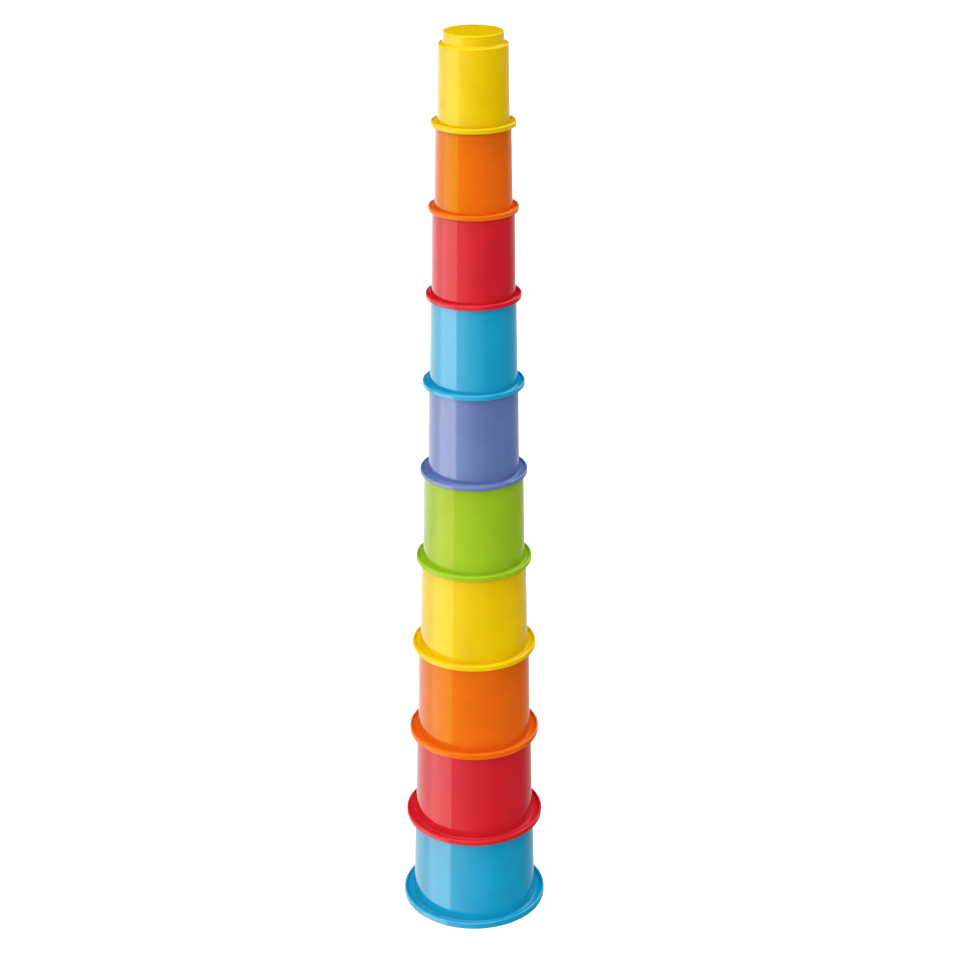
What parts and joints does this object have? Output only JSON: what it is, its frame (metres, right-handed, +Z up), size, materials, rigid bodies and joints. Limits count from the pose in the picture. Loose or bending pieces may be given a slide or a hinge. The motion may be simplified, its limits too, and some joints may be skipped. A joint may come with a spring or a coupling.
{
  "type": "stacking cup tower",
  "caption": "Tall toy tower of round plastic cups, each standing mouth down on the shoulder of the larger one below, with a lipped rim at each mouth.",
  "frame": {"origin": "on the table, on the tower's axis, at the middle of the largest cup's mouth", "axes": "+Z up along the axis that all the cups share, towards the smallest cup; +X and +Y are any two directions across it, since the tower is round"},
  "size_m": [0.091, 0.091, 0.5617],
  "materials": {
    "plastic_blue": "glossy",
    "plastic_red": "glossy",
    "plastic_orange": "glossy",
    "plastic_yellow": "glossy",
    "plastic_green": "glossy",
    "plastic_purple": "glossy"
  },
  "bodies": {
    "cup_01": {"cup_01_blue": "plastic_blue"},
    "cup_02": {"cup_02_red": "plastic_red"},
    "cup_03": {"cup_03_orange": "plastic_orange"},
    "cup_04": {"cup_04_yellow": "plastic_yellow"},
    "cup_05": {"cup_05_green": "plastic_green"},
    "cup_06": {"cup_06_purple": "plastic_purple"},
    "cup_07": {"cup_07_blue": "plastic_blue"},
    "cup_08": {"cup_08_red": "plastic_red"},
    "cup_09": {"cup_09_orange": "plastic_orange"},
    "cup_10": {"cup_10_yellow": "plastic_yellow"}
  },
  "joints": [
    {"name": "lift_cup_02", "type": "slide", "parent": "cup_01", "child": "cup_02", "axis": [0, 0, 1], "range_m": [0, 0.03]},
    {"name": "lift_cup_03", "type": "slide", "parent": "cup_02", "child": "cup_03", "axis": [0, 0, 1], "range_m": [0, 0.03]},
    {"name": "lift_cup_04", "type": "slide", "parent": "cup_03", "child": "cup_04", "axis": [0, 0, 1], "range_m": [0, 0.03]},
    {"name": "lift_cup_05", "type": "slide", "parent": "cup_04", "child": "cup_05", "axis": [0, 0, 1], "range_m": [0, 0.03]},
    {"name": "lift_cup_06", "type": "slide", "parent": "cup_05", "child": "cup_06", "axis": [0, 0, 1], "range_m": [0, 0.03]},
    {"name": "lift_cup_07", "type": "slide", "parent": "cup_06", "child": "cup_07", "axis": [0, 0, 1], "range_m": [0, 0.03]},
    {"name": "lift_cup_08", "type": "slide", "parent": "cup_07", "child": "cup_08", "axis": [0, 0, 1], "range_m": [0, 0.03]},
    {"name": "lift_cup_09", "type": "slide", "parent": "cup_08", "child": "cup_09", "axis": [0, 0, 1], "range_m": [0, 0.03]},
    {"name": "lift_cup_10", "type": "slide", "parent": "cup_09", "child": "cup_10", "axis": [0, 0, 1], "range_m": [0, 0.03]}
  ]
}
